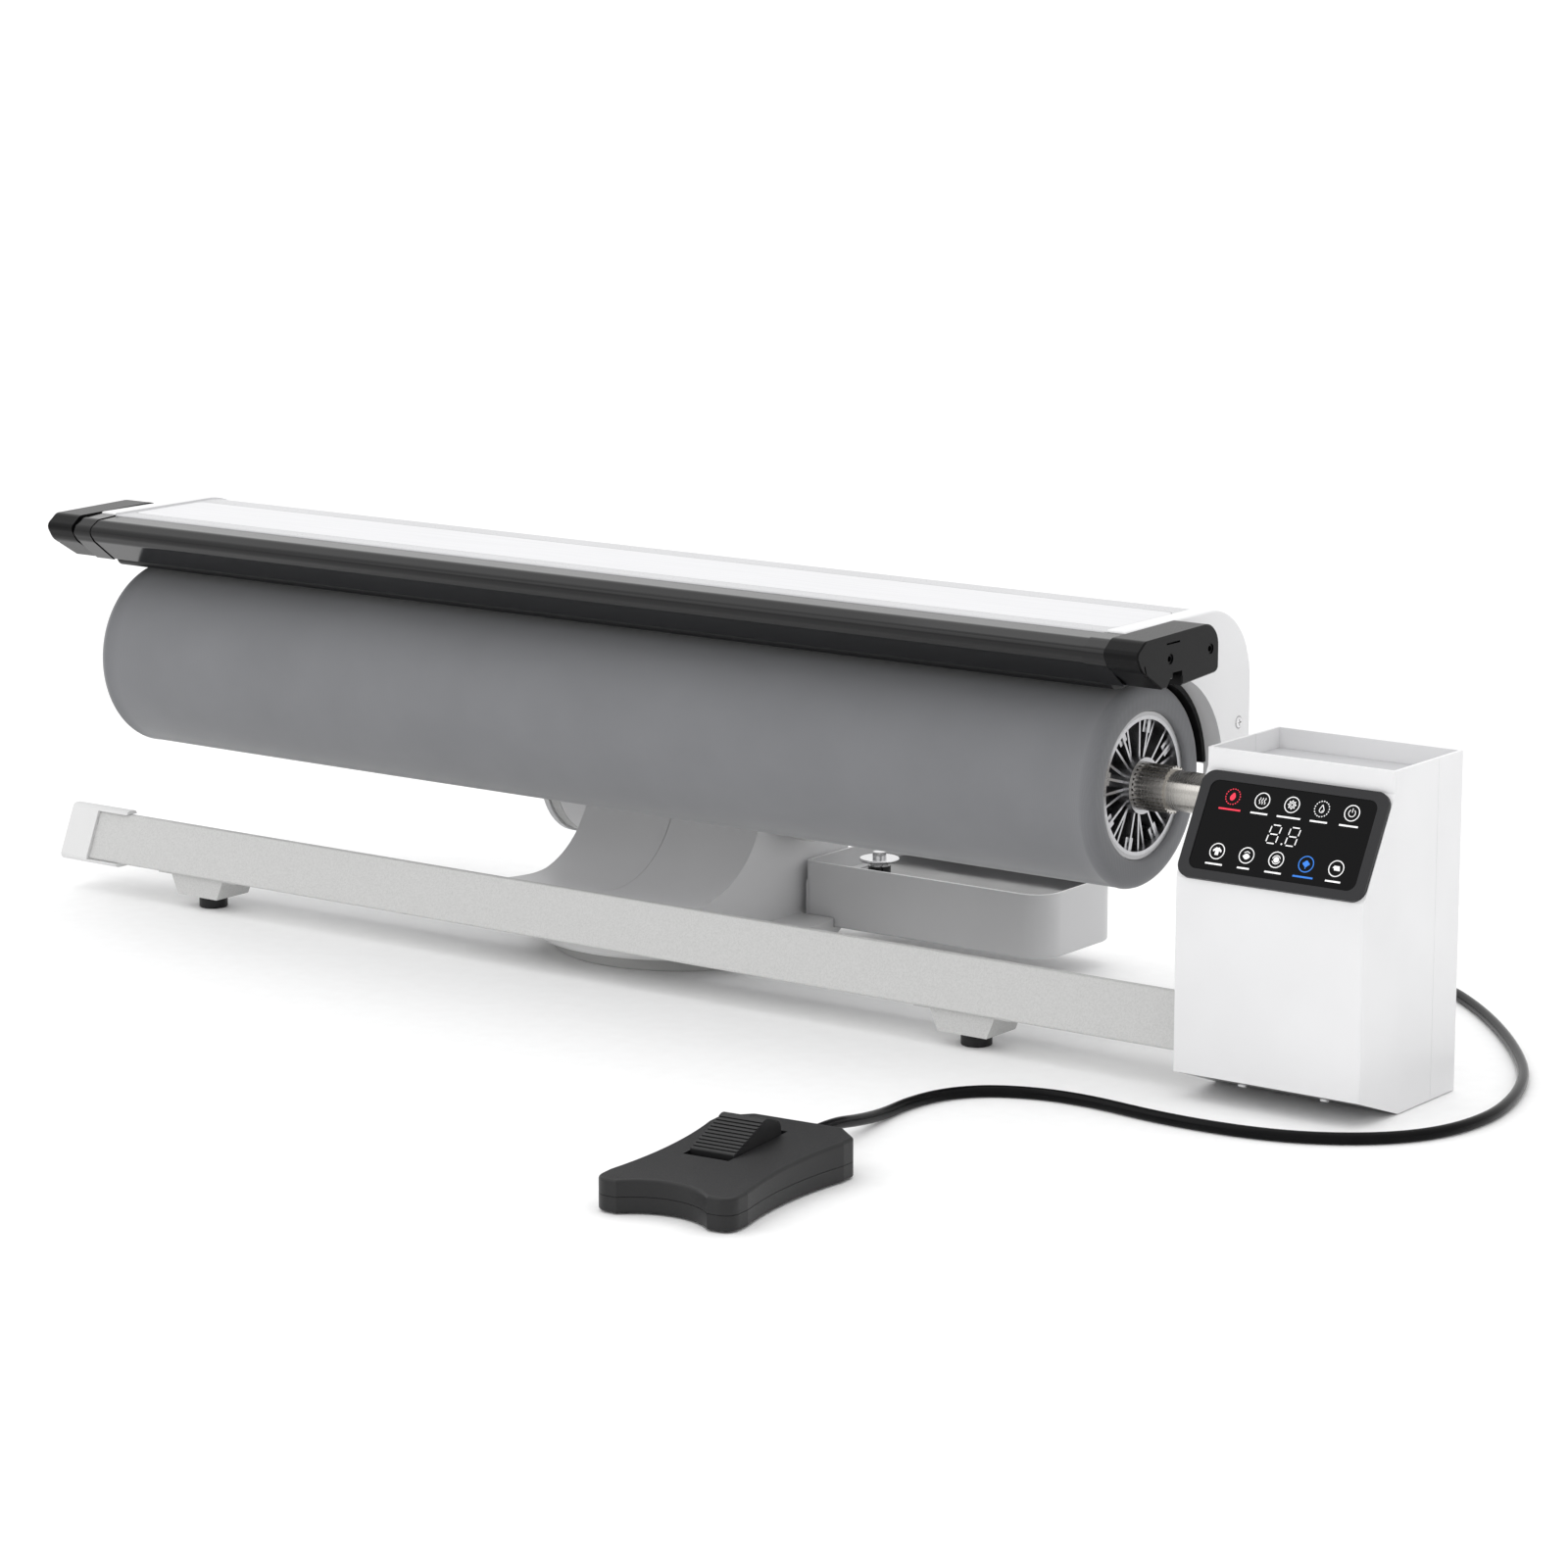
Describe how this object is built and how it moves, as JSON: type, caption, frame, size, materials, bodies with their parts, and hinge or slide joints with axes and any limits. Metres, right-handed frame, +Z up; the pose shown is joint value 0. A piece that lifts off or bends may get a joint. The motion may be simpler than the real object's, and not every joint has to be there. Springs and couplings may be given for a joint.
{
  "type": "rotary ironing press",
  "caption": "Tabletop rotary ironing press: padded roller on a cantilevered shaft, hinged heated shoe above it, base bar, control housing with touch panel, water tank and foot switch.",
  "frame": {"origin": "on the standing surface, under the middle of the roller's axis, at the sole of the base pad", "axes": "+X along the roller towards the control housing, +Y to the back where the shoe hinges, +Z up"},
  "size_m": [1.1648, 0.7537, 0.2827],
  "materials": {
    "bar_paint": "fine textured light grey",
    "bare_steel": "plain steel",
    "black_gloss": "satin to gloss black",
    "black_plastic": "fine grain",
    "black_rubber": "matt",
    "bright_steel": "polished",
    "bronze": "sintered bronze",
    "cast_aluminium": "as cast",
    "circuit_board": "green board",
    "coated_plate": "dark non-stick coating",
    "cord_black": "glossy black flex",
    "grey_plastic": "light grey moulded",
    "insulation": "mineral fibre blanket",
    "panel_glass": "black gloss window",
    "panel_plastic": "dark grey moulded",
    "pedal_black": "fine grain black",
    "pedestal_grey": "mid grey moulded",
    "roller_felt": "matt padded cover",
    "smoked_tank": "smoked plastic",
    "tray_grey": "mid grey moulded",
    "white_enamel": "white coated sheet",
    "white_panel": "brushed white panel",
    "white_plastic": "satin white moulded"
  },
  "bodies": {
    "root": {"base_bar": "bar_paint", "bar_end_cap": "grey_plastic", "foot_brackets": "bar_paint", "rubber_feet": "black_rubber", "housing_front": "white_plastic", "housing_back": "white_plastic", "housing_bottom_plate": "bare_steel", "housing_top_tray": "white_plastic", "panel_frame": "panel_plastic", "panel_glass": "panel_glass", "control_board": "circuit_board", "drive_bracket": "bare_steel", "shaft_carrier": "bare_steel", "needle_bearings": "bright_steel", "roller_gearmotor": "cast_aluminium", "mains_inlet": "black_plastic", "cord_gland": "black_rubber", "case_screws": "bright_steel", "base_plate": "pedestal_grey", "base_pad": "black_rubber", "pedestal_fairing_left": "pedestal_grey", "pedestal_fairing_right": "pedestal_grey", "pedestal_column": "bare_steel", "pivot_bushes": "bronze", "lift_gearmotor": "cast_aluminium", "hinge_barrels": "pedestal_grey", "tank_tray": "tray_grey", "pedal_case_bottom": "pedal_black", "pedal_case_top": "pedal_black", "rocker_pin": "bright_steel", "pedal_microswitch": "black_plastic", "pedal_spring": "bright_steel", "pedal_strain_relief": "black_rubber", "pedal_cord": "cord_black"},
    "roller": {"roller_padding": "roller_felt", "roller_core_tube": "bare_steel", "hub_right": "cast_aluminium", "hub_left": "cast_aluminium", "splined_collar": "bright_steel", "roller_shaft": "bright_steel"},
    "shoe": {"pressing_plate": "coated_plate", "feed_lip": "bright_steel", "shoe_cover": "white_enamel", "cover_panel": "white_panel", "end_covers": "white_plastic", "end_cover_screws": "bright_steel", "front_fascia": "black_gloss", "fascia_sleeves": "black_gloss", "fascia_caps": "black_plastic", "heating_elements": "bare_steel", "steam_manifold": "bright_steel", "insulation_blanket": "insulation", "shoe_bulkheads": "bare_steel", "lift_arms": "bar_paint", "pivot_shaft": "bright_steel", "hinge_cap": "grey_plastic"},
    "tank": {"water_tank": "smoked_tank", "tank_lid": "smoked_tank"},
    "tank_cap": {"tank_cap": "bright_steel"},
    "rocker": {"pedal_rocker": "pedal_black"}
  },
  "joints": [
    {"name": "roller_spin", "type": "hinge", "parent": "root", "child": "roller", "pos_m": [0, 0, 0.1756], "axis": [1, 0, 0], "continuous": true},
    {"name": "shoe_lift", "type": "hinge", "parent": "root", "child": "shoe", "pos_m": [0, 0.1064, 0.1075], "axis": [-1, 0, 0], "range_deg": [0, 15]},
    {"name": "tank_lift", "type": "slide", "parent": "root", "child": "tank", "axis": [0, 0, 1], "range_m": [0, 0.05]},
    {"name": "tank_cap_turn", "type": "hinge", "parent": "tank", "child": "tank_cap", "pos_m": [0.1266, 0.1344, 0.06], "axis": [0, 0, 1], "range_deg": [0, 90]},
    {"name": "rocker_press", "type": "hinge", "parent": "root", "child": "rocker", "pos_m": [0.39825, -0.40978, 0.0096], "axis": [-0.9962, -0.0872, 0], "range_deg": [0, 3], "stiffness_Nm_per_rad": 2, "springref_deg": -3.44}
  ]
}
